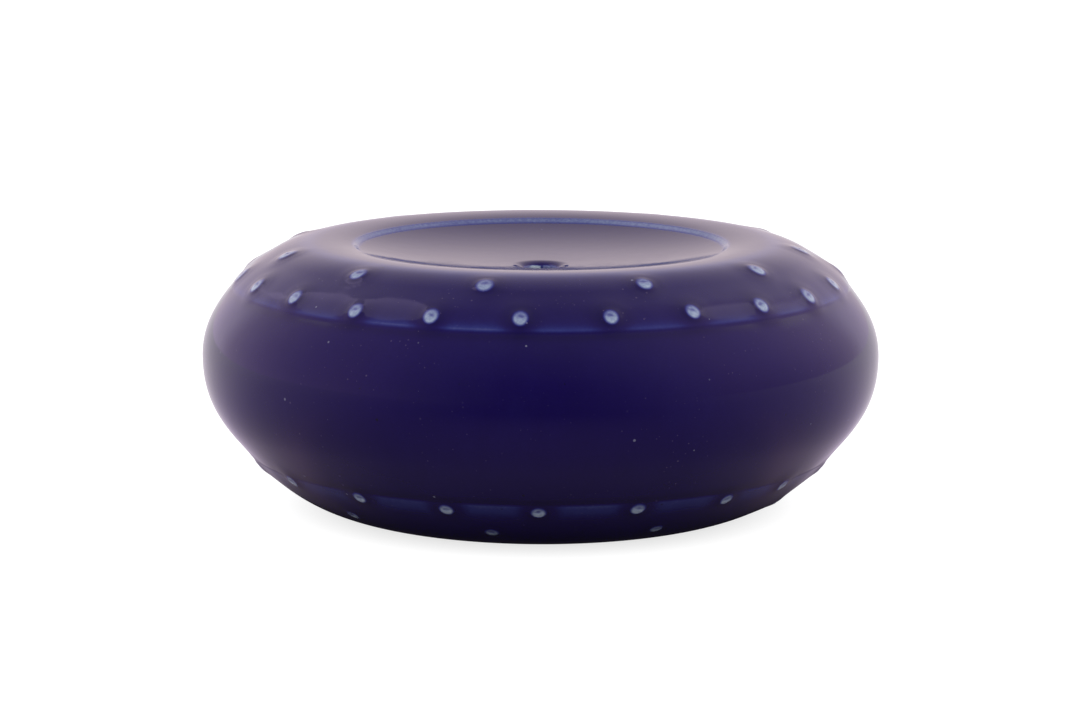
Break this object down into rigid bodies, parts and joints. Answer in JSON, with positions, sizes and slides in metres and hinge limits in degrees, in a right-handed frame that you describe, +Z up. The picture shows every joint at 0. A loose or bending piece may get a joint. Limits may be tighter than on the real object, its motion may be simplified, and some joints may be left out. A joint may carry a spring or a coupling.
{
  "type": "porcelain drum vase",
  "caption": "Squat closed round porcelain vessel with a shallow dished top, a small central stem hole and rows of low clay sprigs along the edges above and below its swelling belly.",
  "frame": {"origin": "centre of the foot ring's resting plane, on the vessel's axis", "axes": "+Z up along the axis; -Y is the side seen in the picture; +X to the viewer's right"},
  "size_m": [0.24, 0.24, 0.0941],
  "materials": {
    "cobalt_glaze": "glossy deep cobalt glaze over white porcelain, thinning to pale blue on edges",
    "sprig_glaze": "thin pale blue-white glaze over raised porcelain clay"
  },
  "bodies": {
    "root": {"base": "cobalt_glaze", "lower_belly": "cobalt_glaze", "upper_belly": "cobalt_glaze", "shoulder": "cobalt_glaze", "top_dish": "cobalt_glaze", "upper_sprig_01": "sprig_glaze", "upper_sprig_02": "sprig_glaze", "upper_sprig_03": "sprig_glaze", "upper_sprig_04": "sprig_glaze", "upper_sprig_05": "sprig_glaze", "upper_sprig_06": "sprig_glaze", "upper_sprig_07": "sprig_glaze", "upper_sprig_08": "sprig_glaze", "upper_sprig_09": "sprig_glaze", "upper_sprig_10": "sprig_glaze", "upper_sprig_11": "sprig_glaze", "upper_sprig_12": "sprig_glaze", "upper_sprig_13": "sprig_glaze", "upper_sprig_14": "sprig_glaze", "upper_sprig_15": "sprig_glaze", "upper_sprig_16": "sprig_glaze", "upper_sprig_17": "sprig_glaze", "upper_sprig_18": "sprig_glaze", "upper_sprig_19": "sprig_glaze", "upper_sprig_20": "sprig_glaze", "upper_sprig_21": "sprig_glaze", "upper_sprig_22": "sprig_glaze", "crest_sprig_01": "sprig_glaze", "crest_sprig_02": "sprig_glaze", "crest_sprig_03": "sprig_glaze", "crest_sprig_04": "sprig_glaze", "crest_sprig_05": "sprig_glaze", "crest_sprig_06": "sprig_glaze", "crest_sprig_07": "sprig_glaze", "crest_sprig_08": "sprig_glaze", "crest_sprig_09": "sprig_glaze", "crest_sprig_10": "sprig_glaze", "crest_sprig_11": "sprig_glaze", "lower_sprig_01": "sprig_glaze", "lower_sprig_02": "sprig_glaze", "lower_sprig_03": "sprig_glaze", "lower_sprig_04": "sprig_glaze", "lower_sprig_05": "sprig_glaze", "lower_sprig_06": "sprig_glaze", "lower_sprig_07": "sprig_glaze", "lower_sprig_08": "sprig_glaze", "lower_sprig_09": "sprig_glaze", "lower_sprig_10": "sprig_glaze", "lower_sprig_11": "sprig_glaze", "lower_sprig_12": "sprig_glaze", "lower_sprig_13": "sprig_glaze", "lower_sprig_14": "sprig_glaze", "lower_sprig_15": "sprig_glaze", "lower_sprig_16": "sprig_glaze", "lower_sprig_17": "sprig_glaze", "lower_sprig_18": "sprig_glaze", "lower_sprig_19": "sprig_glaze", "lower_sprig_20": "sprig_glaze"}
  },
  "joints": []
}
